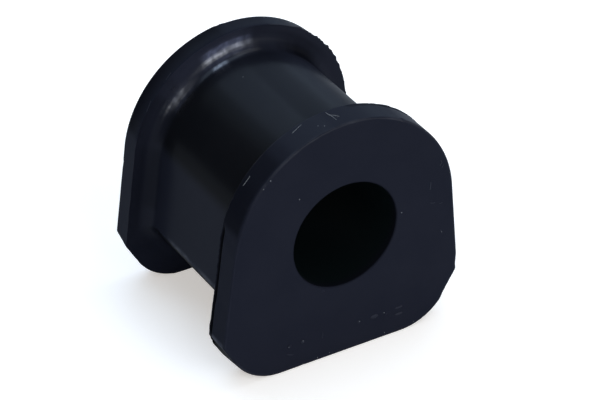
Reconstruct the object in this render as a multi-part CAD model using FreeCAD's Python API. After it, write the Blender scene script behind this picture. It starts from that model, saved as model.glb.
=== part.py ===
import FreeCAD, Part
import math
import os

# Sway bar bushing: one moulded rubber block that holds a stabiliser bar in a strap bracket.
# Millimetres. The bore axis is the Y axis, the origin lies on it midway between the two ends,
# +Z points to the crown and the block stands on the flat feet of its two flanges.

# Bore for the bar
bore_diameter = 24.0
bore_mouth_chamfer = 0.5

# Lengths along the bore, from the front end face to the rear one
front_flange_thickness = 6.0
groove_width = 35.0
rear_flange_thickness = 4.5

# D-shaped outline of both flanges: a crown arc, two walls that lean outwards going down,
# a corner on each side, a chamfer below it, and a rounded turn into the flat foot
crown_centre_height = 0.9
crown_radius = 25.55
wall_lean = 6.4
flange_corner_drop = 18.0
flange_corner_radius = 0.8
flange_chamfer_slope = 59.0
flange_foot_radius = 12.0
foot_drop = 29.0

# Waist between the flanges, where the strap bracket lies
groove_depth = 4.95
waist_corner_drop = 13.8
waist_corner_radius = 3.5
waist_chamfer_slope = 55.0
waist_foot_radius = 6.0
groove_fillet_radius = 3.0

# Rounding of the rim edges at the two end faces
rim_edge_radius = 0.4

length = front_flange_thickness + groove_width + rear_flange_thickness
front_end = -length / 2
groove_front = front_end + front_flange_thickness
groove_rear = groove_front + groove_width
rear_end = groove_rear + rear_flange_thickness

PLANE_TOLERANCE = 1e-4


def in_section(x, z):
    """A point of the section plane, which lies across the bore."""
    return FreeCAD.Vector(x, 0, z)


def mirrored(point):
    return in_section(-point.x, point.z)


def rounded_corner(before, corner, after, radius):
    """First, middle and last point of the arc that rounds a corner between two straight runs."""
    back = (before - corner).normalize()
    ahead = (after - corner).normalize()
    half_angle = back.getAngle(ahead) / 2
    setback = radius / math.tan(half_angle)
    to_centre = (back + ahead).normalize()
    centre = corner + to_centre * (radius / math.sin(half_angle))
    return corner + back * setback, centre - to_centre * radius, corner + ahead * setback


def d_outline(radius, corner_drop, corner_radius, chamfer_slope, foot_radius, foot_level):
    """Closed D outline about the bore axis; only its right half is worked out, the left mirrors it."""
    lean = math.radians(wall_lean)
    slope = math.radians(chamfer_slope)
    crown = in_section(0, crown_centre_height + radius)
    shoulder = in_section(radius * math.cos(lean), crown_centre_height + radius * math.sin(lean))
    corner = in_section(shoulder.x + (shoulder.z + corner_drop) * math.tan(lean), -corner_drop)
    toe = in_section(corner.x - (foot_level - corner_drop) / math.tan(slope), -foot_level)
    middle = in_section(0, -foot_level)
    corner_arc = rounded_corner(shoulder, corner, toe, corner_radius)
    toe_arc = rounded_corner(corner, toe, middle, foot_radius)

    right_side = [
        Part.LineSegment(shoulder, corner_arc[0]),
        Part.Arc(*corner_arc),
        Part.LineSegment(corner_arc[2], toe_arc[0]),
        Part.Arc(*toe_arc),
    ]
    left_side = [
        Part.Arc(*[mirrored(point) for point in reversed(toe_arc)]),
        Part.LineSegment(mirrored(toe_arc[0]), mirrored(corner_arc[2])),
        Part.Arc(*[mirrored(point) for point in reversed(corner_arc)]),
        Part.LineSegment(mirrored(corner_arc[0]), mirrored(shoulder)),
    ]
    foot = Part.LineSegment(toe_arc[2], mirrored(toe_arc[2]))
    crown_arc = Part.Arc(mirrored(shoulder), crown, shoulder)
    curves = right_side + [foot] + left_side + [crown_arc]
    return Part.Wire([curve.toShape() for curve in curves])


def flange_outline():
    return d_outline(crown_radius, flange_corner_drop, flange_corner_radius,
                     flange_chamfer_slope, flange_foot_radius, foot_drop)


def waist_outline():
    return d_outline(crown_radius - groove_depth, waist_corner_drop, waist_corner_radius,
                     waist_chamfer_slope, waist_foot_radius, foot_drop - groove_depth)


def prism(outline, start, end):
    """Solid with the given outline between two stations along the bore."""
    section = Part.Face(outline)
    section.translate(FreeCAD.Vector(0, start, 0))
    return section.extrude(FreeCAD.Vector(0, end - start, 0))


def edges_across(solid, station):
    """Edges that lie in the plane across the bore at one station."""
    return [edge for edge in solid.Edges
            if abs(edge.BoundBox.YMin - station) < PLANE_TOLERANCE
            and abs(edge.BoundBox.YMax - station) < PLANE_TOLERANCE]


def distance_inside_rim(edge, station):
    """How far the middle of an edge lies inside the flange outline."""
    rim = flange_outline()
    rim.translate(FreeCAD.Vector(0, station, 0))
    middle = edge.valueAt((edge.FirstParameter + edge.LastParameter) / 2)
    return rim.distToShape(Part.Vertex(middle))[0]


def waist_root_edges(solid):
    """Inner corners where the waist meets the two flanges."""
    return [edge for station in (groove_front, groove_rear)
            for edge in edges_across(solid, station)
            if distance_inside_rim(edge, station) > groove_depth / 2]


def end_edges(solid, on_rim):
    """Edges of both end faces: those on the outer rim, or those at the bore mouths."""
    found = []
    for station in (front_end, rear_end):
        for edge in edges_across(solid, station):
            if (distance_inside_rim(edge, station) < groove_depth / 2) == on_rim:
                found.append(edge)
    return found


def moulded_block():
    """Two flanges and the waist, blended together by the groove's fillets."""
    front_flange = prism(flange_outline(), front_end, groove_front)
    rear_flange = prism(flange_outline(), groove_rear, rear_end)
    waist = prism(waist_outline(), groove_front, groove_rear)
    block = front_flange.fuse([waist, rear_flange]).removeSplitter()
    return block.makeFillet(groove_fillet_radius, waist_root_edges(block))


def bushing():
    """The block with its bore: the rim edges are rounded and the mouths of the bore chamfered."""
    bore = Part.makeCylinder(bore_diameter / 2, length, FreeCAD.Vector(0, front_end, 0),
                             FreeCAD.Vector(0, 1, 0))
    body = moulded_block().cut(bore)
    body = body.makeFillet(rim_edge_radius, end_edges(body, on_rim=True))
    return body.makeChamfer(bore_mouth_chamfer, end_edges(body, on_rim=False))


os.makedirs("parts", exist_ok=True)
block = bushing().Solids[0]
block.exportStep("parts/bushing.step")

overall = block.optimalBoundingBox(False, False)
print("volume", round(block.Volume), "mm3")
print("width, length, height", round(overall.XLength, 2), round(overall.YLength, 2), round(overall.ZLength, 2))
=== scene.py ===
"""Looks of the sway bar bushing: one moulded rubber block with its marks, flash, lint and dust.

Metres, in the CAD part's own frame: the bore axis is Y, +Z points to the crown and the block
stands on the flat feet of its two flanges.
"""
import math
from types import SimpleNamespace

import bpy
from mathutils import Matrix, Vector


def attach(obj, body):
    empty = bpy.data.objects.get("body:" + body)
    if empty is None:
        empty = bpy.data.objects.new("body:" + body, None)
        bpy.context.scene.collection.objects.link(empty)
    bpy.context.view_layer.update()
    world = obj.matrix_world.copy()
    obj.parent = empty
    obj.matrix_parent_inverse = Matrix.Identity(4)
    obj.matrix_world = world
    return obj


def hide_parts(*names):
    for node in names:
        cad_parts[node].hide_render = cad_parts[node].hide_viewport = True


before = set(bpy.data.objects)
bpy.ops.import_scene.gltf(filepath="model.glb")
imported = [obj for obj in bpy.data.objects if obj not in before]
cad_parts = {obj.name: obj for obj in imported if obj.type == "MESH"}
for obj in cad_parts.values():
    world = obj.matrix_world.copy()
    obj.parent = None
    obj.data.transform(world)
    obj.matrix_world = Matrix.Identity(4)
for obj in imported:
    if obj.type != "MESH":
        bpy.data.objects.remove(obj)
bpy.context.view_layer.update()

MM = 0.001

# Bore and lengths along it
BORE_RADIUS = 12.0 * MM
MOUTH_ROUNDING = 0.2 * MM
FRONT_END = -22.75 * MM
GROOVE_FRONT = -16.75 * MM
GROOVE_REAR = 18.25 * MM
REAR_END = 22.75 * MM
RIM_ROUNDING = 0.4 * MM
GROOVE_FILLET = 3.0 * MM

# D outlines of the flanges and of the waist
CROWN_CENTRE = 0.9 * MM
WALL_LEAN = math.radians(6.4)
FLANGE = {
    "crown_radius": 25.55 * MM,
    "corner_level": -18.0 * MM,
    "corner_radius": 0.8 * MM,
    "chamfer_slope": math.radians(59.0),
    "toe_radius": 12.0 * MM,
    "foot_level": -29.0 * MM,
}
WAIST = {
    "crown_radius": 20.6 * MM,
    "corner_level": -13.8 * MM,
    "corner_radius": 3.5 * MM,
    "chamfer_slope": math.radians(55.0),
    "toe_radius": 6.0 * MM,
    "foot_level": -24.05 * MM,
}
FLOOR_LEVEL = FLANGE["foot_level"]

# The moulding drifts from the plain outline in places. Angles go round the bore in degrees, from the right
# (+X) over the crown to the left and the foot, -90 to 270; each stretch has a start, an end and an amount.
FRONT_FLARE = ((-60, -36, 0.50 * MM), (216, 240, 0.50 * MM), (164, 200, -0.20 * MM))
REAR_DRAFT = ((25, 95, -0.25 * MM),)
REAR_CUT = 0.9 * MM
CORNER_WEAR = ((-44, -29, 0.35 * MM), (149, 171, 0.20 * MM))
FRONT_CREASE = ((164, 236, 0.30 * MM), (-30, 10, 0.15 * MM), (46, 84, 0.12 * MM))
STRETCH_ENDS = 5.0

# Shares of the full height that the torn lip has on the two edges of the groove
FRONT_LIP = ((-28, -4, 0.5), (0, 45, 0.3), (43, 66, 0.3), (60, 125, 0.12), (166, 218, 0.7))
REAR_LIP = ((-62, -20, 0.5), (4, 62, 1.2), (120, 165, 0.15), (197, 214, 0.3), (212, 246, 0.5))

# Shares of the plain tone that painted shade takes off the front rim, the rear inner face and the rear rim.
# Where a share is negative, the surface has painted light and is lighter than plain.
FRONT_FILM = ((44, 62, -0.25), (119, 163, 0.18), (125, 163, 0.25), (141, 163, 0.09), (213, 243, 0.85))
REAR_FILM = ((34, 70, 0.25), (40, 64, 0.25), (45, 58, 0.2), (85, 140, -0.3), (90, 130, -0.25),
             (168, 206, 0.25), (219, 238, -0.15))
REAR_RIM_FILM = ((76, 162, 0.25), (98, 162, 0.38))

# Change in the wear of the front face's edge; how polished the upper and the lower part of the rear fillet
# are, where a negative amount dulls the fillet; the polished parts also get painted highlights
FRONT_EDGE_WEAR = ((137, 213, -0.9),)
UPPER_POLISH = ((20, 82, -0.8), (85, 116, 0.35), (91, 113, 0.55), (127, 147, 0.4), (131, 143, 0.5))
LOWER_POLISH = ((103, 112, 1.3), (127, 143, 0.6))

# Groove edge of a rim, in millimetres: distance before the edge and reach past the outline, then shares of
# the torn lip and of the crease behind it
EDGE_ROWS = (
    (1.15, 0.0, 0.0, 0.0), (0.95, 0.0, 0.0, 0.15), (0.76, 0.0, 0.0, 0.75), (0.55, 0.0, 0.0, 1.0),
    (0.36, 0.0, 0.0, 1.0), (0.2, 0.0, 0.3, 0.85), (0.09, 0.0, 0.8, 0.35), (0.01, -0.01, 1.0, 0.0),
    (-0.05, -0.03, 0.85, 0.0), (-0.03, -0.14, 0.3, 0.0),
)
EDGE_START = 1.35 * MM
EDGE_STEP = 0.3 * MM

# Divisions of half an outline: crown, wall, corner, chamfer, toe, foot
HALF_DIVISIONS = (104, 52, 14, 26, 30, 14)
AROUND = 2 * sum(HALF_DIVISIONS)

# Divisions of half the section of the wall; across the inner face, shares of the way down to the waist
BORE_DIVISIONS = 11
ROUNDING_DIVISIONS = 5
FRONT_RIM_DIVISIONS = 8
REAR_RIM_DIVISIONS = 6
FILLET_DIVISIONS = 12
WAIST_DIVISIONS = 13
INNER_SHARES = (0.0, 0.15, 0.4, 0.7, 0.93)

# Gaps between the rows of a rounding and the even rows beside it
MOUTH_GAP = 0.15 * MM
RIM_EDGE_GAP = 0.1 * MM
FILLET_GAP = 0.2 * MM

# How worn the edges are: bore mouth, end face, torn lip
MOUTH_WEAR = 0.06
RIM_WEAR = 1.0
LIP_WEAR = 0.7

# How glossy and how light each zone of the block is: weight of the clear sheen, share of the face's tone; the
# low tones of the bore, its mouth and the waist are painted shade
BORE_FINISH = (0.0, 0.34)
MOUTH_FINISH = (0.0, 0.8)
FACE_FINISH = (0.010, 1.0)
RIM_FINISH = (0.070, 1.0)
INNER_FINISH = (0.033, 1.05)
WAIST_FINISH = (0.142, 0.50)

SEED = 7
MERGE_DISTANCE = 1e-6


def past(place, *steps):
    """Places that lie these millimetres past a place along the bore, or up from a level."""
    return tuple(place + step * MM for step in steps)


# Noise of the torn lip, dents and gloss: distance between bumps, and the values between which they set in
LIP_PITCH, LIP_SHOWS = 9.0 * MM, (0.36, 0.54)
TEETH_SHOW = (0.30, 0.75)
DENT_PITCH, DENTS_SHOW = 1.7 * MM, (0.62, 0.74)
PATCH_PITCH, PATCHES_SHOW = 6.0 * MM, (0.0, 0.42)
SPECK_PITCH, SPECKS_SHOW = 1.1 * MM, (0.38, 0.62)

# Zones along the bore: begins, full from, full to, ends; a pair is a rise from nothing to all
FRONT_RIM = past(FRONT_END, 0.3, 0.8) + past(GROOVE_FRONT, 0.1, 1.0)
REAR_RIM = past(GROOVE_REAR, -0.1, -0.06) + past(REAR_END, -0.05, 0.0)
REAR_RIM_RISE = past(GROOVE_REAR, -2.0) + past(REAR_END, -0.6)
REAR_RIM_EDGE = past(GROOVE_REAR, -0.1, -0.06, 0.3, 0.9)
REAR_INNER = past(GROOVE_REAR, -3.4, -2.0, 0.01, 0.1)
ROOT_END = past(GROOVE_REAR, -1.0, 0.7)
FILLET_MIDDLE = past(GROOVE_REAR, -3.2, -2.0, -0.9, -0.1)
FILLET_TOP = past(GROOVE_REAR, -0.7, -0.3)
DULL_FILLET = past(GROOVE_REAR, -3.0, -2.0)
UPPER_RING = past(GROOVE_REAR, -1.6, -1.0)
LOWER_RING = past(GROOVE_REAR, -3.7, -3.0, -1.8, -1.3)
TOWARDS_REAR = past(GROOVE_REAR, -3.0, 0.0)
TOWARDS_FRONT = past(GROOVE_FRONT, 0.0, 3.0)
SHADED_END = past(GROOVE_REAR, -4.0, -1.0)
WAIST_CORNER_END = past(GROOVE_REAR, -10.0, -4.0)
BORE_MOUTH = past(REAR_END, -1.0, -0.4)

# Zones up the block, as levels: the flange's corner with its painted glint, the waist's corner (its gloss and
# its painted glint line), the rise of the sheen above the feet
FLANGE_CORNER = past(0.0, -18.9, -18.3, -17.6, -17.0)
CORNER_GLOSS = past(0.0, -18.5, -15.0, -14.5, -12.5)
CORNER_LINE = past(0.0, -15.0, -13.8, -12.9, -12.2)
ABOVE_FEET = past(0.0, -19.5, -16.5)

# How far a surface faces the left: 1 for straight to the left, 0 for up or down. RIGHT_SIDE counts the same
# way towards the right.
LEFT_SIDE = (0.74, 0.92)
LEFT_WALL = (0.955, 0.99)
RIGHT_SIDE = (0.15, 0.50, 0.80, 0.95)
SHADED_SIDE = (0.30, 0.60, 0.96, 0.995)
PAST_CROWN = (0.34, 0.46)

# Changes of the sheen, as shares of it; the polish without specks, and what the specks add
CORNER_SHEEN = 0.6
LEFT_DULL = 0.58
LEFT_DULL_REAR = 0.28
LEFT_DULL_FRONT = 0.20
RIGHT_DULL = 0.36
FILM_DULL = 0.8
PLAIN_POLISH = 0.45
SPECK_POLISH = 0.6

# Changes of the tone, as shares of the face's tone, mostly painted light and shade: lighter sides and front
# edge, corner glints, fillet highlights; a crease gets painted shade by its depth in metres
RIGHT_LIGHT = 0.6
LEFT_WALL_LOSS = 0.03
CORNER_LIGHT = 0.7
WAIST_CORNER_SHARE = 0.5
FILLET_LIGHT = 1.4
FILLET_TOP_LIGHT = 3.9
EDGE_LIGHT = 0.12
CREASE_DARK = 3600.0
CREASE_DARKEST = 0.9
PLAIN_TINT = (1.0, 1.0, 1.0)
BORE_TINT = (0.76, 1.22, 0.86)
SHADED_TINT = (0.84, 0.80, 0.64)

# Painted glints on the corners of the flange and of the waist, in the worn colour, beside the wear of an edge
CORNERS_WEAR = 3.0


def node(tree, kind, inputs=None, **settings):
    """A node with its settings; each input is a plain value or another node's output."""
    made = tree.nodes.new(kind)
    for name, value in settings.items():
        setattr(made, name, value)
    for key, value in (inputs or {}).items():
        socket = open_socket(made.inputs, key)
        if isinstance(value, bpy.types.NodeSocket):
            tree.links.new(value, socket)
        else:
            socket.default_value = value
    return made


def open_socket(sockets, key):
    """The socket in use that has this name or number."""
    if isinstance(key, int):
        return sockets[key]
    return [socket for socket in sockets if socket.name == key and socket.enabled][0]


def result(made, name=0):
    return open_socket(made.outputs, name)


def scalar(tree, operation, *values):
    """Output of a Math node on plain values or sockets."""
    made = node(tree, "ShaderNodeMath", dict(enumerate(values)), operation=operation)
    return made.outputs[0]


def vector(tree, operation, *values):
    """Output of a Vector Math node; SCALE takes its factor as the second value."""
    if operation == "SCALE":
        inputs = {0: values[0], "Scale": values[1]}
    else:
        inputs = dict(enumerate(values))
    return node(tree, "ShaderNodeVectorMath", inputs, operation=operation).outputs["Vector"]


def parts(tree, value):
    """The X, Y and Z of a vector."""
    return tuple(node(tree, "ShaderNodeSeparateXYZ", {0: value}).outputs)


def combined(tree, **axes):
    """A vector from its X, Y and Z; an axis that isn't given is 0."""
    return node(tree, "ShaderNodeCombineXYZ", axes).outputs[0]


def mix(tree, kind, share, first, second, blend="MIX"):
    """Mix of two values, vectors or colours, each of them plain or a socket."""
    low, high, output = {"FLOAT": (2, 3, 0), "VECTOR": (4, 5, 1), "RGBA": (6, 7, 2)}[kind]
    made = node(tree, "ShaderNodeMix", {0: share, low: first, high: second}, data_type=kind, blend_type=blend)
    return made.outputs[output]


def stored(tree, label):
    """The named vector that each point carries."""
    return result(node(tree, "GeometryNodeInputNamedAttribute", {"Name": label}, data_type="FLOAT_VECTOR"),
                  "Attribute")


def store(tree, geometry, label, value, kind="FLOAT"):
    """The geometry with a named value on its points."""
    return result(node(tree, "GeometryNodeStoreNamedAttribute",
                       {"Geometry": geometry, "Name": label, "Value": value}, data_type=kind, domain="POINT"))


def smooth_step(tree, value, low, high):
    """0 below low, 1 above high and a soft rise between them."""
    made = node(tree, "ShaderNodeMapRange", {"Value": value, "From Min": low, "From Max": high},
                interpolation_type="SMOOTHSTEP")
    return made.outputs["Result"]


def sums(tree):
    """Functions that multiply, add, subtract and fade values in this tree."""
    def chain(operation, values):
        total = values[0]
        for value in values[1:]:
            total = scalar(tree, operation, total, value)
        return total

    def times(*values):
        return chain("MULTIPLY", values)

    def plus(*values):
        return chain("ADD", values)

    def minus(*values):
        return chain("SUBTRACT", values)

    def less(value):
        """What is left of 1."""
        return scalar(tree, "SUBTRACT", 1.0, value)

    def step(value, limits):
        return smooth_step(tree, value, *limits)

    def band(value, limits):
        """0 outside the first and the last limit, 1 between the two middle ones."""
        return times(step(value, limits[:2]), less(step(value, limits[2:])))

    return times, plus, minus, less, step, band


def noise(tree, place, pitch, seed, detail):
    """Noise from 0 to 1 whose bumps lie about one pitch apart, in metres."""
    made = node(tree, "ShaderNodeTexNoise",
                {"Vector": place, "W": seed, "Scale": 1 / pitch, "Detail": detail},
                noise_dimensions="4D")
    return result(made)


def fitted_noise(tree, place, pitch, seed, detail):
    """The same noise with a pitch that may be a socket."""
    scaled = vector(tree, "SCALE", place, scalar(tree, "DIVIDE", MM, pitch))
    return noise(tree, scaled, MM, seed, detail)


def new_geometry_tree(name, objects, numbers, material):
    """An empty geometry tree with named inputs. Returns it with its input sockets and identifiers."""
    tree = bpy.data.node_groups.new(name, "GeometryNodeTree")
    identifiers = {}
    for labels, kind in ((objects, "NodeSocketObject"), (numbers, "NodeSocketFloat"),
                         ([material], "NodeSocketMaterial")):
        for label in labels:
            made = tree.interface.new_socket(label, in_out="INPUT", socket_type=kind)
            identifiers[label] = made.identifier
    tree.interface.new_socket("Geometry", in_out="OUTPUT", socket_type="NodeSocketGeometry")
    entry = tree.nodes.new("NodeGroupInput")
    return tree, {label: entry.outputs[label] for label in identifiers}, identifiers


def geometry_of(tree, source):
    return result(node(tree, "GeometryNodeObjectInfo", {"Object": source}), "Geometry")


def close_tree(tree, geometry, material):
    """Ends a tree: real geometry, smooth faces, material, output."""
    real = node(tree, "GeometryNodeRealizeInstances", {"Geometry": geometry})
    smooth = node(tree, "GeometryNodeSetShadeSmooth", {"Geometry": result(real)})
    painted = node(tree, "GeometryNodeSetMaterial", {"Geometry": result(smooth), "Material": material})
    node(tree, "NodeGroupOutput", {"Geometry": result(painted)})


def added(name, data):
    """A new object with this data, in the scene."""
    made = bpy.data.objects.new(name, data)
    bpy.context.scene.collection.objects.link(made)
    return made


def made_by_tree(name, tree, identifiers, values):
    """Runs a tree on an empty mesh and returns what it makes as a plain mesh object."""
    holder = added(name + "_holder", bpy.data.meshes.new(name + "_start"))
    modifier = holder.modifiers.new("shape", "NODES")
    modifier.node_group = tree
    for label, value in values.items():
        modifier[identifiers[label]] = value
    bpy.context.view_layer.update()
    evaluated = holder.evaluated_get(bpy.context.evaluated_depsgraph_get())
    mesh = bpy.data.meshes.new_from_object(evaluated)
    mesh.name = name
    holder.modifiers.remove(modifier)
    bpy.data.objects.remove(holder)
    return added(name, mesh)


def helper(name, points, attributes, edges=()):
    """Points with named vectors, from which a tree reads a section, a list of places or a few lines."""
    mesh = bpy.data.meshes.new(name)
    mesh.from_pydata(points, edges, [])
    for label, values in attributes.items():
        layer = mesh.attributes.new(label, "FLOAT_VECTOR", "POINT")
        layer.data.foreach_set("vector", [number for value in values for number in value])
    return added(name, mesh)


def spread(first, last, steps):
    """Even stations from first to last."""
    return [first + (last - first) * step / steps for step in range(steps + 1)]


def direction(angle):
    return (math.cos(angle), math.sin(angle))


def on_circle(centre, radius, angle):
    return (centre[0] + radius * math.cos(angle), centre[1] + radius * math.sin(angle))


def arc(centre, radius, start, end, divisions):
    """Points and normals along an arc, without its last point."""
    angles = spread(start, end, divisions)[:-1]
    return [(on_circle(centre, radius, angle), direction(angle)) for angle in angles]


def line(start, end, normal, divisions):
    """Points and normals along a straight run, without its last point."""
    places = zip(spread(start[0], end[0], divisions), spread(start[1], end[1], divisions))
    return [(place, normal) for place in places][:-1]


def shoulder_and_corner(sizes):
    """Where the crown ends on the right, and the x at which the wall below it meets the chamfer."""
    shoulder = on_circle((0, CROWN_CENTRE), sizes["crown_radius"], WALL_LEAN)
    return shoulder, shoulder[0] + (shoulder[1] - sizes["corner_level"]) * math.tan(WALL_LEAN)


def d_outline(sizes):
    """Points and outward normals of a D outline, round from the top of its crown over the right side."""
    crown, wall, corner, chamfer, toe, foot = HALF_DIVISIONS
    radius = sizes["crown_radius"]
    shoulder, corner_x = shoulder_and_corner(sizes)
    wall_normal = WALL_LEAN
    chamfer_normal = -(math.pi / 2 - sizes["chamfer_slope"])
    foot_normal = -math.pi / 2
    drop = sizes["corner_level"] - sizes["foot_level"]
    toe_x = corner_x - drop / math.tan(sizes["chamfer_slope"])

    def arc_centre(point, first, second, rounding):
        """Centre of the rounding at a corner between two runs with these normals."""
        middle = (first + second) / 2
        reach = rounding / math.cos((first - second) / 2)
        return on_circle(point, -reach, middle)

    corner_r, toe_r = sizes["corner_radius"], sizes["toe_radius"]
    corner_centre = arc_centre((corner_x, sizes["corner_level"]), wall_normal, chamfer_normal, corner_r)
    toe_centre = arc_centre((toe_x, sizes["foot_level"]), chamfer_normal, foot_normal, toe_r)
    right = arc((0, CROWN_CENTRE), radius, math.pi / 2, WALL_LEAN, crown)
    right += line(shoulder, on_circle(corner_centre, corner_r, wall_normal), direction(wall_normal), wall)
    right += arc(corner_centre, corner_r, wall_normal, chamfer_normal, corner)
    right += line(on_circle(corner_centre, corner_r, chamfer_normal),
                  on_circle(toe_centre, toe_r, chamfer_normal), direction(chamfer_normal), chamfer)
    right += arc(toe_centre, toe_r, chamfer_normal, foot_normal, toe)
    right += line(on_circle(toe_centre, toe_r, foot_normal), (0, sizes["foot_level"]), (0, -1), foot)
    bottom = [((0, sizes["foot_level"]), (0, -1))]
    left = [((-x, z), (-nx, nz)) for (x, z), (nx, nz) in reversed(right[1:])]
    return right + bottom + left


def chamfer_plane(sizes):
    """Outward normal of the right chamfer and how far along it the chamfer lies."""
    normal = direction(-(math.pi / 2 - sizes["chamfer_slope"]))
    _, corner_x = shoulder_and_corner(sizes)
    return normal[0], normal[1], corner_x * normal[0] + sizes["corner_level"] * normal[1]


def smooth(value):
    return value * value * (3 - 2 * value)


def amount_at(point, stretches):
    """Sum of the stretches' amounts at a point, each fading out softly at both ends."""
    angle = math.degrees(math.atan2(point[1], point[0]))
    angle += 360 if angle < -90 else 0
    total = 0.0
    for start, end, amount in stretches:
        inside = min(angle - start, end - angle) / STRETCH_ENDS + 0.5
        total += amount * smooth(min(max(inside, 0.0), 1.0))
    return total


def section_helper(name, sizes):
    """One outline, with its outward normals and the amounts that go with each of its places."""
    outline = d_outline(sizes)
    places = [point for point, _ in outline]

    def amounts(*kinds):
        return [tuple(amount_at(place, kind) for kind in kinds) for place in places]

    return helper(name, [(x, 0, z) for x, z in places], {
        "outward": [(nx, 0, nz) for _, (nx, nz) in outline],
        "drift": amounts(FRONT_FLARE, REAR_DRAFT, CORNER_WEAR),
        "lip": amounts(FRONT_LIP, REAR_LIP, FRONT_CREASE),
        "film": amounts(FRONT_FILM, REAR_FILM, FRONT_EDGE_WEAR),
        "polish": amounts(UPPER_POLISH, LOWER_POLISH, REAR_RIM_FILM),
    })


FACE_SHARES = (0.012, 0.035, *spread(0.08, 0.92, 13), 0.96, 0.985, 0.996)


def half_rows(end, inner, rim_divisions, drifts_at_end):
    """Rows of half the block, from the middle of the bore over one flange to the middle of the waist.

    Each row has its shares of the bore, the waist's and the flange's outline; its reach beyond the waist's
    and the flange's outline and its station along the bore; how much lip, edge wear and drift it takes;
    and its sheen, tone and crease.
    """
    inward = 1 if end < 0 else -1
    rows = []

    def row(shares, past_waist, past_flange, station, finish, lip=0.0, edge=0.0, crease=0.0):
        along_rim = min(max((station - end) / (inner - end), 0.0), 1.0)
        drift = (1 - along_rim if drifts_at_end else along_rim) * shares[2]
        rows.append((shares, (past_waist, past_flange, station), (lip, edge, drift), finish + (crease,)))

    for station in spread(0, end + inward * (MOUTH_ROUNDING + MOUTH_GAP), BORE_DIVISIONS):
        row((1, 0, 0), 0, 0, station, BORE_FINISH)
    for angle in spread(0, math.pi / 2, ROUNDING_DIVISIONS):
        wider = 1 + MOUTH_ROUNDING * (1 - math.cos(angle)) / BORE_RADIUS
        station = end + inward * MOUTH_ROUNDING * (1 - math.sin(angle))
        row((wider, 0, 0), 0, 0, station, MOUTH_FINISH, edge=MOUTH_WEAR)
    mouth_share = 1 + MOUTH_ROUNDING / BORE_RADIUS
    for share in FACE_SHARES:
        row(((1 - share) * mouth_share, 0, share), 0, -RIM_ROUNDING * share, end, FACE_FINISH)
    for angle in spread(0, math.pi / 2, ROUNDING_DIVISIONS):
        station = end + inward * RIM_ROUNDING * (1 - math.cos(angle))
        row((0, 0, 1), 0, -RIM_ROUNDING * (1 - math.sin(angle)), station, RIM_FINISH, edge=RIM_WEAR)
    start = end + inward * (RIM_ROUNDING + RIM_EDGE_GAP)
    for station in spread(start, inner - inward * EDGE_START, rim_divisions):
        row((0, 0, 1), 0, 0, station, RIM_FINISH)
    for back, reach, lip, crease in EDGE_ROWS:
        row((0, 0, 1), 0, reach * MM, inner - inward * back * MM, RIM_FINISH,
            lip=lip, edge=LIP_WEAR if lip > 0.5 else 0.0, crease=crease)
    for share in INNER_SHARES:
        row((0, share, 1 - share), GROOVE_FILLET * share, -EDGE_STEP * (1 - share), inner, INNER_FINISH)
    for angle in spread(0, math.pi / 2, FILLET_DIVISIONS):
        down = angle / (math.pi / 2)
        finish = tuple(face + (waist - face) * down for face, waist in zip(INNER_FINISH, WAIST_FINISH))
        station = inner + inward * GROOVE_FILLET * (1 - math.cos(angle))
        row((0, 1, 0), GROOVE_FILLET * (1 - math.sin(angle)), 0, station, finish)
    start = inner + inward * (GROOVE_FILLET + FILLET_GAP)
    for station in spread(start, 0.5 * (GROOVE_FRONT + GROOVE_REAR), WAIST_DIVISIONS):
        row((0, 1, 0), 0, 0, station, WAIST_FINISH)
    return rows


def block_rows():
    """Rows once round the section of the wall: along the bore, over one flange, the waist and the other."""
    front = half_rows(FRONT_END, GROOVE_FRONT, FRONT_RIM_DIVISIONS, False)
    rear = half_rows(REAR_END, GROOVE_REAR, REAR_RIM_DIVISIONS, True)
    return front + list(reversed(rear))[1:-1]


def block_values(tree, given, along):
    """What each vertex of the grid takes: its column from the outlines and its row from the rows."""
    index = result(node(tree, "GeometryNodeInputIndex"))
    column = scalar(tree, "MODULO", scalar(tree, "MODULO", index, AROUND + 1), AROUND)
    row = scalar(tree, "MODULO", scalar(tree, "FLOOR", scalar(tree, "DIVIDE", index, AROUND + 1)), along)

    def read(source, label, place):
        value = stored(tree, label) if label else result(node(tree, "GeometryNodeInputPosition"))
        return result(node(tree, "GeometryNodeSampleIndex",
                           {"Geometry": geometry_of(tree, given[source]), "Value": value, "Index": place},
                           data_type="FLOAT_VECTOR", domain="POINT"))

    def read_parts(source, label, place):
        return parts(tree, read(source, label, place))

    at = SimpleNamespace()
    at.flange = read("Flange outline", "", column)
    at.waist = read("Waist outline", "", column)
    at.flange_outward = read("Flange outline", "outward", column)
    at.waist_outward = read("Waist outline", "outward", column)
    at.bore_share, at.waist_share, at.flange_share = read_parts("Rows", "shares", row)
    at.past_waist, at.past_flange, at.station = read_parts("Rows", "reach", row)
    at.lip_share, at.edge_share, at.drift_share = read_parts("Rows", "finish", row)
    at.sheen, at.tone, at.crease_share = read_parts("Rows", "surface", row)
    at.front_drift, at.rear_drift, at.worn_corner = read_parts("Flange outline", "drift", column)
    at.front_lip, at.rear_lip, at.front_crease = read_parts("Flange outline", "lip", column)
    at.front_film, at.rear_film, at.front_wear = read_parts("Flange outline", "film", column)
    at.upper_polish, at.lower_polish, at.rim_film = read_parts("Waist outline", "polish", column)
    at.along_bore = combined(tree, Y=at.station)
    at.place = vector(tree, "ADD", at.flange, at.along_bore)
    at.rear = scalar(tree, "GREATER_THAN", at.station, 0.0)
    return at


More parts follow.
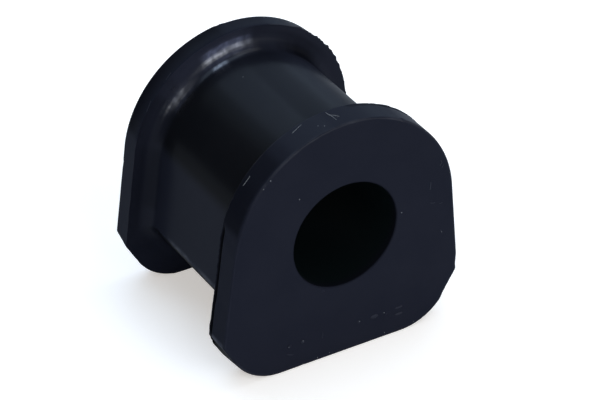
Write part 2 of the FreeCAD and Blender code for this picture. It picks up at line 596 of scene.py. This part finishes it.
def place_vertices(tree, given, at):
    """Places of the vertices: the outlines with their drift, torn lip, crease, nicks and worn corners."""
    times, plus, minus, less, step, _ = sums(tree)

    # Towards the rear end both lower chamfers are cut deeper
    across, down, reach = chamfer_plane(FLANGE)
    flange_x, _, flange_z = parts(tree, at.flange)
    depth = times(at.drift_share, at.rear, given["Rear cut"])
    outwards = plus(times(scalar(tree, "ABSOLUTE", flange_x), across), times(flange_z, down))
    excess = scalar(tree, "MAXIMUM", 0.0, plus(minus(outwards, reach), depth))
    sideways = times(scalar(tree, "SIGN", flange_x), times(excess, across))
    cut = combined(tree, X=sideways, Z=times(excess, down))
    flange = vector(tree, "SUBTRACT", at.flange, cut)

    # The moulding flash is a thin torn lip that comes and goes, ragged in height, with a crease behind it.
    # The noise is about 0.5 on average, so with about 0.5 added it varies an amount round its own size.
    where = step(noise(tree, at.place, LIP_PITCH, given["Seed"], 1.0), LIP_SHOWS)
    teeth = fitted_noise(tree, at.place, given["Flash pitch"], given["Seed"], 3.0)
    full = times(mix(tree, "FLOAT", at.rear, at.front_lip, at.rear_lip), given["Flash height"])
    lip = times(where, step(teeth, TEETH_SHOW), at.lip_share, full)
    crease = mix(tree, "FLOAT", at.rear, at.front_crease, 0.0)
    at.crease = times(at.crease_share, crease, plus(teeth, 0.45))

    # Nicks are short dents in the edges; the front face's edge is also worn away in two places
    dents = step(noise(tree, at.place, DENT_PITCH, plus(given["Seed"], 3.0), 2.0), DENTS_SHOW)
    nick = times(dents, at.edge_share, given["Nick depth"])
    at.front_rim = times(less(at.drift_share), times(at.flange_share, less(at.rear)))
    worn = times(at.worn_corner, at.front_rim, plus(teeth, 0.5))
    drift = times(at.drift_share, mix(tree, "FLOAT", at.rear, at.front_drift, at.rear_drift))
    past_flange = minus(plus(at.past_flange, drift, lip), nick, worn, at.crease)

    bore = vector(tree, "SCALE", vector(tree, "NORMALIZE", at.flange), given["Bore radius"])
    shaped = vector(tree, "SCALE", bore, at.bore_share)
    for value, share in ((at.waist, at.waist_share), (flange, at.flange_share),
                         (at.waist_outward, at.past_waist), (at.flange_outward, past_flange)):
        shaped = vector(tree, "ADD", shaped, vector(tree, "SCALE", value, share))
    at.shaped = vector(tree, "ADD", shaped, at.along_bore)
    at.height = parts(tree, at.shaped)[2]
    outward = vector(tree, "ADD", vector(tree, "SCALE", at.waist_outward, at.waist_share),
                     vector(tree, "SCALE", at.flange_outward, at.flange_share))
    at.faces_left = times(-1.0, parts(tree, outward)[0])
    at.left = scalar(tree, "GREATER_THAN", at.faces_left, 0.0)


def lay_film(tree, at):
    """Painted shade on stretches of the rims and rear inner face, into the fillet; painted light where
    negative.
    """
    times, plus, _, less, step, band = sums(tree)
    at.beside_bore = less(scalar(tree, "MINIMUM", at.bore_share, 1.0))
    front = band(at.station, FRONT_RIM)
    at.in_root = times(less(step(at.station, ROOT_END)), step(at.waist_share, (0.3, 1.0)))
    lightened = scalar(tree, "LESS_THAN", at.rear_film, 0.0)
    inner = times(band(at.station, REAR_INNER), scalar(tree, "MAXIMUM", at.in_root, lightened))
    rim = times(at.flange_share, band(at.station, REAR_RIM), step(at.station, REAR_RIM_RISE))
    on_rear = plus(times(at.rear_film, inner), times(at.rim_film, rim))
    # The front flange's lower left corner gets a painted glint, and no painted shade
    at.on_corner = times(band(at.height, FLANGE_CORNER), front, at.flange_share, less(at.rear), at.left)
    at.film = times(mix(tree, "FLOAT", at.rear, times(at.front_film, front), on_rear), at.beside_bore,
                    less(at.on_corner))
    at.rim_is_clean = less(step(at.rim_film, (0.0, 0.2)))


def gloss(tree, given, at):
    """Weight of the clear sheen: glossy patches on the rear fillet and the waist's corner, dull sides."""
    times, plus, minus, less, step, band = sums(tree)
    seed = given["Seed"]
    upper = times(scalar(tree, "MAXIMUM", at.upper_polish, 0.0), step(at.station, UPPER_RING))
    lower = times(at.lower_polish, band(at.station, LOWER_RING))
    patches = step(noise(tree, at.place, PATCH_PITCH, plus(seed, 9.0), 2.0), PATCHES_SHOW)
    specks = step(noise(tree, at.shaped, SPECK_PITCH, plus(seed, 5.0), 2.0), SPECKS_SHOW)
    speckled = plus(PLAIN_POLISH, times(specks, SPECK_POLISH))
    at.polish = times(plus(upper, lower), at.waist_share, patches, speckled)

    dull_fillet = times(scalar(tree, "MAXIMUM", times(at.upper_polish, -1.0), 0.0), at.in_root,
                        step(at.station, DULL_FILLET))
    dull_edge = times(at.flange_share, step(at.rim_film, (0.0, 0.2)), band(at.station, REAR_RIM_EDGE))
    dulled = scalar(tree, "MAXIMUM", dull_fillet, dull_edge)
    left_dull = plus(minus(LEFT_DULL, times(step(at.station, TOWARDS_REAR), LEFT_DULL_REAR)),
                     times(less(step(at.station, TOWARDS_FRONT)), LEFT_DULL_FRONT))
    at.left_wall = step(at.faces_left, LEFT_WALL)
    at.right_side = times(at.waist_share, band(times(at.faces_left, -1.0), RIGHT_SIDE))
    corner = times(at.waist_share, band(at.height, CORNER_GLOSS))
    sheen = times(at.sheen, plus(1.0, times(corner, CORNER_SHEEN)),
                  less(times(step(at.faces_left, LEFT_SIDE), left_dull)), less(dulled),
                  less(times(at.right_side, RIGHT_DULL)), less(times(at.film, FILM_DULL)),
                  step(at.height, ABOVE_FEET))
    return scalar(tree, "MAXIMUM", sheen, times(at.polish, given["Groove polish"]))


def tone(tree, at):
    """Share of the plain colour: painted light on walls, corners and fillet; painted shade, crease; greenish
    bore.
    """
    times, plus, minus, less, step, band = sums(tree)
    # Painted light on the left wall and the waist's right side; the left wall then gets a little painted
    # shade back
    sides = scalar(tree, "MAXIMUM", at.left_wall, times(at.right_side, RIGHT_LIGHT))
    light = plus(at.tone, times(less(at.tone), sides, at.beside_bore))
    light = minus(light, times(at.left_wall, LEFT_WALL_LOSS))
    # A painted glint: a light line along the waist's lower left corner, fading out towards the rear flange
    at.waist_corner = times(at.waist_share, band(at.height, CORNER_LINE),
                            less(step(at.station, WAIST_CORNER_END)), at.left)
    corners = plus(at.on_corner, times(at.waist_corner, WAIST_CORNER_SHARE))
    # Painted highlights on the polished rear fillet, brighter at its top on the crown's side
    fillet_top = times(step(at.waist_share, (0.6, 1.0)), less(step(at.faces_left, PAST_CROWN)),
                       step(at.station, FILLET_TOP))
    light = plus(light, times(corners, CORNER_LIGHT),
                 times(at.polish, band(at.station, FILLET_MIDDLE), FILLET_LIGHT),
                 times(at.polish, fillet_top, FILLET_TOP_LIGHT))
    # Painted light on the front rim's edges along the left wall
    light = times(light, plus(1.0, times(at.edge_share, at.front_rim, at.left_wall, EDGE_LIGHT)))
    # Painted shade in the crease behind the front lip, darker the deeper it is
    creased = scalar(tree, "MINIMUM", times(at.crease, CREASE_DARK), CREASE_DARKEST)
    share = times(light, less(at.film), less(creased))

    # The bore's painted shade is faintly green, and the waist's shaded left side gets painted shade, darker
    # and less blue
    from_middle = scalar(tree, "ABSOLUTE", at.station)
    in_bore = times(step(at.bore_share, (0.99, 1.0)), less(step(from_middle, BORE_MOUTH)))
    shaded = times(at.waist_share, band(at.faces_left, SHADED_SIDE), less(step(at.station, SHADED_END)))
    tint = vector(tree, "MULTIPLY", mix(tree, "VECTOR", in_bore, PLAIN_TINT, BORE_TINT),
                  mix(tree, "VECTOR", shaded, PLAIN_TINT, SHADED_TINT))
    return vector(tree, "SCALE", tint, share)


def edge_wear(tree, at):
    """Wear of the end faces' edges and the torn lip, less under painted shade, and painted glints on the
    corners.
    """
    times, plus, _, less, _, _ = sums(tree)
    front = times(less(at.rear), plus(1.0, at.front_wear))
    rear = times(at.rear, at.rim_is_clean)
    return plus(times(at.edge_share, plus(rear, front)),
                times(plus(at.on_corner, at.waist_corner), CORNERS_WEAR))


def block_tree(along):
    """Loft of the block from a grid that is closed both ways, with its looks stored on the vertices."""
    tree, given, identifiers = new_geometry_tree(
        "moulded_block", ("Flange outline", "Waist outline", "Rows"),
        ("Bore radius", "Rear cut", "Flash height", "Flash pitch", "Nick depth", "Groove polish",
         "Wave height", "Wave pitch", "Foot level", "Seed"), "Rubber")
    grid = node(tree, "GeometryNodeMeshGrid",
                {"Size X": 1.0, "Size Y": 1.0, "Vertices X": along + 1, "Vertices Y": AROUND + 1})
    at = block_values(tree, given, along)
    place_vertices(tree, given, at)
    lay_film(tree, at)
    weight = gloss(tree, given, at)
    tinted = tone(tree, at)
    body = node(tree, "GeometryNodeSetPosition", {"Geometry": result(grid, "Mesh"), "Position": at.shaped})
    painted = store(tree, result(body), "edge_wear", edge_wear(tree, at))
    painted = store(tree, painted, "sheen_weight", weight)
    painted = store(tree, painted, "tone", tinted, "FLOAT_VECTOR")
    closed = node(tree, "GeometryNodeMergeByDistance", {"Geometry": painted, "Distance": MERGE_DISTANCE})

    # Long shallow waves of a moulded surface; the feet stay flat
    here = result(node(tree, "GeometryNodeInputPosition"))
    swell = scalar(tree, "SUBTRACT", fitted_noise(tree, here, given["Wave pitch"], given["Seed"], 2.0), 0.5)
    push = vector(tree, "SCALE", result(node(tree, "GeometryNodeInputNormal")),
                  scalar(tree, "MULTIPLY", swell, given["Wave height"]))
    waved = node(tree, "GeometryNodeSetPosition", {"Geometry": result(closed), "Offset": push})
    x, y, z = parts(tree, here)
    resting = combined(tree, X=x, Y=y, Z=scalar(tree, "MAXIMUM", z, given["Foot level"]))
    flat_footed = node(tree, "GeometryNodeSetPosition", {"Geometry": result(waved), "Position": resting})
    turned = node(tree, "GeometryNodeFlipFaces", {"Mesh": result(flat_footed)})
    close_tree(tree, result(turned), given["Rubber"])
    return tree, identifiers


# Base colours of the rubber: plain, under full bloom and worn or painted glint; patches in which wear and
# glints show
RUBBER_DARK = (0.0113, 0.0127, 0.0205, 1)
RUBBER_BLOOM = (0.0156, 0.0168, 0.0255, 1)
RUBBER_WORN = (0.038, 0.040, 0.051, 1)
SCUFF_PITCH = 3.5 * MM
SCUFF_STRENGTH = 0.35


def new_material(name):
    """A material with its node tree and the shader in it."""
    made = bpy.data.materials.new(name)
    made.use_nodes = True
    return made, made.node_tree, made.node_tree.nodes["Principled BSDF"]


def surface_nodes(tree, pitch, cloud_pitch, bloom):
    """The shared grain and cloud, set for one material."""
    made = node(tree, "ShaderNodeGroup", node_tree=MOULDED_SURFACE)
    for label, value in (("Grain pitch", pitch), ("Cloud pitch", cloud_pitch), ("Bloom", bloom)):
        made.inputs[label].default_value = value
    return made


def rubber_material():
    """Near-black moulded rubber with a cloudy bloom, fine grain, lighter worn edges and painted light and
    shade.
    """
    made, tree, shader = new_material("moulded_rubber")
    grain = surface_nodes(tree, pitch=0.45 * MM, cloud_pitch=11.0 * MM, bloom=0.30)
    cloud = result(grain, "Cloud")
    wear = node(tree, "ShaderNodeAttribute", attribute_name="edge_wear")
    patchy = scalar(tree, "MULTIPLY", wear.outputs["Fac"], result(grain, "Scuff"))
    colour = mix(tree, "RGBA", cloud, RUBBER_DARK, RUBBER_BLOOM)
    colour = mix(tree, "RGBA", patchy, colour, RUBBER_WORN)
    # The tone on the vertices carries each zone's tone together with painted light, shade and glints
    tone_here = node(tree, "ShaderNodeAttribute", attribute_name="tone")
    colour = mix(tree, "RGBA", 1.0, colour, tone_here.outputs["Color"], "MULTIPLY")
    tree.links.new(colour, shader.inputs["Base Color"])
    sheen = node(tree, "ShaderNodeAttribute", attribute_name="sheen_weight")
    tree.links.new(sheen.outputs["Fac"], shader.inputs["Coat Weight"])
    shader.inputs["Coat Roughness"].default_value = 0.22
    shader.inputs["Coat IOR"].default_value = 1.75
    rough = node(tree, "ShaderNodeMapRange", {"Value": cloud, "To Min": 0.40, "To Max": 0.50})
    tree.links.new(result(rough), shader.inputs["Roughness"])
    bump = node(tree, "ShaderNodeBump",
                {"Height": result(grain, "Height"), "Strength": 0.25, "Distance": 0.05 * MM})
    tree.links.new(bump.outputs["Normal"], shader.inputs["Normal"])
    shader.inputs["Specular IOR Level"].default_value = 0.0055
    shader.inputs["Specular Tint"].default_value = (0.80, 0.88, 1.0, 1)
    return made


def moulded_surface_group():
    """Grain, cloudy bloom and scuffed patches that the rubber and the dust share."""
    tree = bpy.data.node_groups.new("moulded_surface", "ShaderNodeTree")
    for label in ("Grain pitch", "Cloud pitch", "Bloom"):
        tree.interface.new_socket(label, in_out="INPUT", socket_type="NodeSocketFloat")
    for label in ("Height", "Cloud", "Scuff"):
        tree.interface.new_socket(label, in_out="OUTPUT", socket_type="NodeSocketFloat")
    given = tree.nodes.new("NodeGroupInput")
    place = tree.nodes.new("ShaderNodeTexCoord").outputs["Object"]

    def layer(pitch, detail):
        return fitted_noise(tree, place, pitch, SEED, detail)

    fine = layer(given.outputs["Grain pitch"], 3.0)
    cloud = smooth_step(tree, layer(given.outputs["Cloud pitch"], 4.0), 0.3, 0.7)
    bloom = scalar(tree, "MULTIPLY", cloud, given.outputs["Bloom"])
    patches = smooth_step(tree, layer(SCUFF_PITCH, 2.0), 0.35, 0.65)
    scuff = scalar(tree, "MULTIPLY", patches, SCUFF_STRENGTH)
    node(tree, "NodeGroupOutput", {"Height": fine, "Cloud": bloom, "Scuff": scuff})
    return tree


MOULDED_SURFACE = moulded_surface_group()
RUBBER = rubber_material()


def moulded_block():
    rows = block_rows()
    along = len(rows)
    helpers = [
        section_helper("flange_section", FLANGE),
        section_helper("waist_section", WAIST),
        helper("block_rows", [(0, 0, 0)] * along,
               dict(zip(("shares", "reach", "finish", "surface"), zip(*rows)))),
    ]
    tree, identifiers = block_tree(along)
    block = made_by_tree("rubber_block", tree, identifiers, {
        "Flange outline": helpers[0],
        "Waist outline": helpers[1],
        "Rows": helpers[2],
        "Bore radius": BORE_RADIUS,
        "Rear cut": REAR_CUT,
        "Flash height": 0.45 * MM,
        "Flash pitch": 1.3 * MM,
        "Nick depth": 0.12 * MM,
        "Groove polish": 0.95,
        "Wave height": 0.05 * MM,
        "Wave pitch": 6.0 * MM,
        "Foot level": FLOOR_LEVEL,
        "Seed": float(SEED),
        "Rubber": RUBBER,
    })
    for made in helpers:
        bpy.data.objects.remove(made)
    return block


# Raised pips and bars on the lower front face, where the mould carries its marks. Millimetres and degrees:
# x, z, length, width, height, turn
MOULD_MARKS = (
    (-12.63, -22.88, 0.9, 0.8, 0.30, 0), (-9.57, -22.77, 0.9, 0.9, 0.28, 20),
    (-12.50, -24.95, 1.9, 0.5, 0.22, -20), (-4.84, -22.90, 1.9, 0.35, 0.12, 88),
    (3.77, -22.72, 0.9, 0.8, 0.30, 0), (7.55, -22.85, 1.9, 1.0, 0.25, 0),
    (10.33, -23.12, 0.8, 0.8, 0.30, 0), (13.48, -22.65, 1.9, 0.5, 0.22, 0),
    (13.56, -24.31, 1.9, 0.5, 0.22, 0), (-5.11, -11.94, 1.3, 0.5, 0.15, 0),
)
MARK_ROOT = 0.05 * MM

# Crumbs of dust that show in the photograph, in millimetres: place and radius
CRUMBS = (
    (13.16, -22.75, 0.96, 0.15), (-10.97, -22.75, 12.25, 0.17), (-17.59, -22.77, 18.77, 0.16),
    (-19.14, -22.77, 17.32, 0.14), (23.22, -22.75, -7.13, 0.12), (-5.89, -22.72, -28.24, 0.14),
    (-3.03, -22.72, -28.06, 0.12), (10.28, -22.72, -27.96, 0.13), (17.41, -22.72, -27.80, 0.12),
    (-5.40, -19.99, 25.82, 0.14), (-4.46, -20.86, 26.02, 0.14), (-4.79, 9.70, 20.95, 0.09),
    (3.85, -23.02, -22.55, 0.12), (9.95, -22.75, -22.75, 0.13), (-12.95, -23.02, -22.80, 0.11),
    (-9.60, -23.02, -22.45, 0.11),
)
CRUMB_SHAPE = (1.0, 0.8, 0.7)

# Lint on the front rim, in millimetres: thickness, then the places it passes
LINT = (
    (0.06, (-20.75, -17.80, 15.90), (-20.05, -17.95, 16.82), (-19.30, -17.95, 17.70)),
    (0.05, (-2.05, -17.30, 26.42), (-1.95, -18.30, 26.44), (-1.70, -19.20, 26.46), (-1.60, -20.60, 26.42)),
    (0.045, (-1.90, -18.45, 26.46), (-1.10, -19.20, 26.52), (-0.50, -19.90, 26.47)),
    (0.035, (-9.90, -17.90, 24.48), (-8.70, -17.60, 24.94), (-7.50, -17.25, 25.32)),
)

# Short scuffs near the right edge of the front face and two scratches on the rear rim, in millimetres:
# thickness, then the places each passes
SCUFFS = (
    (0.12, (22.05, -22.75, 10.60), (22.30, -22.77, 10.00), (21.90, -22.75, 9.40)),
    (0.10, (22.90, -22.75, 9.40), (22.40, -22.77, 8.70)),
    (0.17, (19.92, -22.75, 6.10), (19.88, -22.78, 5.20), (19.86, -22.75, 4.30)),
    (0.12, (20.10, -22.75, 0.95), (20.80, -22.77, 0.70), (21.20, -22.75, 0.75)),
    (0.12, (22.20, -22.75, 0.10), (23.00, -22.76, 0.05)),
    (0.10, (23.00, -22.75, -6.60), (23.40, -22.77, -7.60)),
    (0.09, (-17.65, 18.56, 19.43), (-17.13, 18.67, 19.92), (-16.36, 18.79, 20.57)),
    (0.09, (-22.31, 18.26, 13.42), (-21.69, 18.50, 14.50), (-21.09, 18.71, 15.40)),
)


def dust_material(name, colour):
    """Dull pale matter that lies on the rubber."""
    made, tree, shader = new_material(name)
    grain = surface_nodes(tree, pitch=0.1 * MM, cloud_pitch=2.0 * MM, bloom=0.6)
    darker = tuple(0.6 * part for part in colour[:3]) + (1,)
    clouded = mix(tree, "RGBA", result(grain, "Cloud"), colour, darker)
    tree.links.new(clouded, shader.inputs["Base Color"])
    shader.inputs["Roughness"].default_value = 0.9
    shader.inputs["Specular IOR Level"].default_value = 0.1
    return made


def placed_drops(name, places, material, rings, wear=0.0, tone=1.0):
    """Squashed balls at given places, each with its centre, its half sizes and its turn about the axes."""
    tree, given, identifiers = new_geometry_tree(name, ["Places"], ["Swell", "Wear", "Tone"], "Material")
    ball = node(tree, "GeometryNodeMeshUVSphere", {"Segments": 2 * rings, "Rings": rings, "Radius": 1.0})
    drops = node(tree, "GeometryNodeInstanceOnPoints", {
        "Points": geometry_of(tree, given["Places"]),
        "Instance": result(ball, "Mesh"),
        "Rotation": stored(tree, "turn"),
        "Scale": vector(tree, "SCALE", stored(tree, "half_size"), given["Swell"]),
    })
    real = node(tree, "GeometryNodeRealizeInstances", {"Geometry": result(drops)})
    marked = store(tree, store(tree, result(real), "tone", given["Tone"]), "edge_wear", given["Wear"])
    close_tree(tree, marked, given["Material"])
    centres, half_sizes, turns = zip(*places)
    spots = helper(name + "_places", centres, {"half_size": half_sizes, "turn": turns})
    piece = made_by_tree(name, tree, identifiers, {
        "Places": spots, "Swell": 1.0, "Wear": wear, "Tone": tone, "Material": material})
    bpy.data.objects.remove(spots)
    return piece


# Points along a fibre, sides round it, and how closely its waves follow each other
FIBRE_POINTS = 24
FIBRE_SIDES = 8
WAVER_SCALE = 900.0


def fibres(name, lines, material):
    """Thin round fibres that run through their places with a slight waver."""
    tree, given, identifiers = new_geometry_tree(name, ["Lines"], ["Waver", "Seed"], "Material")
    curve = node(tree, "GeometryNodeMeshToCurve", {"Mesh": geometry_of(tree, given["Lines"])})
    curve = node(tree, "GeometryNodeCurveSplineType", {"Curve": result(curve)}, spline_type="CATMULL_ROM")
    curve = node(tree, "GeometryNodeResampleCurve", {"Curve": result(curve), "Count": FIBRE_POINTS})
    here = result(node(tree, "GeometryNodeInputPosition"))
    sway = node(tree, "ShaderNodeTexNoise",
                {"Vector": here, "W": given["Seed"], "Scale": WAVER_SCALE, "Detail": 1.0},
                noise_dimensions="4D")
    about_zero = vector(tree, "SUBTRACT", result(sway, "Color"), (0.5, 0.5, 0.5))
    offset = vector(tree, "SCALE", about_zero, given["Waver"])
    bent = node(tree, "GeometryNodeSetPosition", {"Geometry": result(curve), "Offset": offset})
    profile = node(tree, "GeometryNodeCurvePrimitiveCircle", {"Resolution": FIBRE_SIDES, "Radius": 0.5})
    tube = node(tree, "GeometryNodeCurveToMesh", {
        "Curve": result(bent), "Profile Curve": result(profile),
        "Scale": parts(tree, stored(tree, "thickness"))[0], "Fill Caps": True})
    close_tree(tree, result(tube), given["Material"])
    points, edges, sizes = [], [], []
    for width, *places in lines:
        first = len(points)
        points += [tuple(value * MM for value in place) for place in places]
        edges += [(number, number + 1) for number in range(first, len(points) - 1)]
        sizes += [(width * MM, 0, 0)] * len(places)
    runs = helper(name + "_lines", points, {"thickness": sizes}, edges)
    piece = made_by_tree(name, tree, identifiers, {
        "Lines": runs, "Waver": 0.12 * MM, "Seed": float(SEED), "Material": material})
    bpy.data.objects.remove(runs)
    return piece


def mould_marks():
    places = []
    for x, z, length, width, height, turn in MOULD_MARKS:
        places.append(((x * MM, FRONT_END + MARK_ROOT, z * MM),
                       (0.5 * length * MM, height * MM + MARK_ROOT, 0.5 * width * MM),
                       (0, -math.radians(turn), 0)))
    # Extra wear and a lighter tone make the marks lighter, as painted highlights
    return placed_drops("mould_marks", places, RUBBER, 10, wear=1.2, tone=1.15)


def crumbs(material):
    """Squashed crumbs, each turned in its own way."""
    places = []
    for x, y, z, size in CRUMBS:
        half_sizes = tuple(size * share * MM for share in CRUMB_SHAPE)
        places.append(((x * MM, y * MM, z * MM), half_sizes, (0.4 * z, 0.7 * x, 0.3 * z)))
    return placed_drops("crumbs", places, material, 4)


LINT_FIBRE = dust_material("lint_fibre", (0.40, 0.42, 0.44, 1))
DUST = dust_material("dust", (0.18, 0.19, 0.21, 1))
SCUFFED = dust_material("scuffed_rubber", (0.034, 0.038, 0.053, 1))

block = moulded_block()
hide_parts("bushing")
marks = mould_marks()
for piece in (block, marks):
    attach(piece, "root")
for piece in (fibres("lint", LINT, LINT_FIBRE), fibres("scuffs", SCUFFS, SCUFFED), crumbs(DUST)):
    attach(piece, "root")


# Camera, as worked out from the bore's ellipse and the outlines in the photograph
CAMERA_PLACE = Vector((-0.2386027, -0.3887035, 0.3040489))
CAMERA_RIGHT = Vector((0.85481457, -0.51865346, 0.01704837))
CAMERA_UP = Vector((0.27895389, 0.48696182, 0.82767923))
IMAGE_WIDTH = 600
FOCAL_PIXELS = 2683.616
SENSOR_WIDTH = 36.0


def photograph_camera():
    data = bpy.data.cameras.new("camera")
    data.sensor_width = SENSOR_WIDTH
    data.lens = FOCAL_PIXELS / IMAGE_WIDTH * SENSOR_WIDTH
    data.shift_x = -0.5 / IMAGE_WIDTH
    data.shift_y = 0.5 / IMAGE_WIDTH
    data.clip_start = 0.01
    data.clip_end = 100.0
    camera = added("camera", data)
    back = CAMERA_RIGHT.cross(CAMERA_UP)
    turn = Matrix((CAMERA_RIGHT, CAMERA_UP, back)).transposed()
    camera.matrix_world = Matrix.Translation(CAMERA_PLACE) @ turn.to_4x4()
    bpy.context.scene.camera = camera


# Light that the floor gives off, to the camera alone
FLOOR_LIFT = 0.42


def floor():
    """Plain pale floor under the block; the camera sees it lifted to white, less so in the block's shadow."""
    side = 0.35
    mesh = bpy.data.meshes.new("floor")
    mesh.from_pydata([(-side, -side, FLOOR_LEVEL), (side, -side, FLOOR_LEVEL),
                      (side, side, FLOOR_LEVEL), (-side, side, FLOOR_LEVEL)], [], [(0, 1, 2, 3)])
    pale, tree, shader = new_material("pale_floor")
    shader.inputs["Base Color"].default_value = (0.88, 0.88, 0.88, 1)
    shader.inputs["Roughness"].default_value = 0.9
    shader.inputs["Specular IOR Level"].default_value = 0.0
    shader.inputs["Emission Color"].default_value = (1.0, 0.94, 0.88, 1)
    path = tree.nodes.new("ShaderNodeLightPath")
    lifted = scalar(tree, "MULTIPLY", path.outputs["Is Camera Ray"], FLOOR_LIFT)
    tree.links.new(lifted, shader.inputs["Emission Strength"])
    mesh.materials.append(pale)
    added("floor", mesh)


# Light from all round on everything; the camera sees the background at full white
WORLD_LEVEL = 0.022

# Softboxes: azimuth from the rear (+Y) over the right (+X), elevation, side in metres, watts; all 1 m away
SOFTBOXES = {
    "rear_low_softbox": (350, 6, 0.4, 2.20),
    "right_low_softbox": (97, 12, 0.4, 1.30),
    "right_high_softbox": (90, 62, 0.5, 1.50),
    "front_right_low_strip": (135, 10, 0.3, 0.94),
    "front_right_softbox": (135, 35, 0.5, 1.10),
    "front_low_softbox": (162, 16, 0.62, 3.10),
    "front_softbox": (180, 35, 0.5, 2.09),
    "front_left_softbox": (215, 35, 0.5, 0.33),
    "front_left_low_strip": (225, 10, 0.3, 0.66),
    "front_left_glint": (219, 35, 0.15, 0.30),
    "left_softbox": (249, 40, 0.6, 1.90),
}
COOL_WHITE = (0.93, 0.965, 1.0)

# Cooler window light from overhead and from behind the block
WINDOWS = {
    "overhead_window": (350, 70, 0.85, 5.00),
    "far_left_window": (343, 32, 0.4, 0.20),
    "left_window": (4, 33, 0.5, 0.74),
    "right_window": (42, 30, 0.64, 1.32),
    "low_window": (46, 7, 0.32, 0.33),
}
WINDOW_BLUE = (0.62, 0.79, 1.0)


def softbox(name, azimuth, elevation, side, power, colour):
    """A square area lamp, one metre away, that looks at the block."""
    data = bpy.data.lights.new(name, "AREA")
    data.size = side
    data.energy = power
    data.color = colour
    lamp = added(name, data)
    turn, lift = math.radians(azimuth), math.radians(elevation)
    way = Vector((math.sin(turn) * math.cos(lift), math.cos(turn) * math.cos(lift), math.sin(lift)))
    lamp.matrix_world = Matrix.Translation(way) @ way.to_track_quat("Z", "Y").to_matrix().to_4x4()


def studio():
    """White behind everything, as the photograph is cut out, and soft light from the boxes."""
    world = bpy.data.worlds.new("studio")
    world.use_nodes = True
    tree = world.node_tree
    path = tree.nodes.new("ShaderNodeLightPath")
    seen = scalar(tree, "MAXIMUM", path.outputs["Is Camera Ray"], WORLD_LEVEL)
    background = tree.nodes["Background"]
    background.inputs["Color"].default_value = (1, 1, 1, 1)
    tree.links.new(seen, background.inputs["Strength"])
    bpy.context.scene.world = world
    for name, numbers in SOFTBOXES.items():
        softbox(name, *numbers, COOL_WHITE)
    for name, numbers in WINDOWS.items():
        softbox(name, *numbers, WINDOW_BLUE)


photograph_camera()
floor()
studio()

bpy.context.scene.view_settings.view_transform = "Standard"
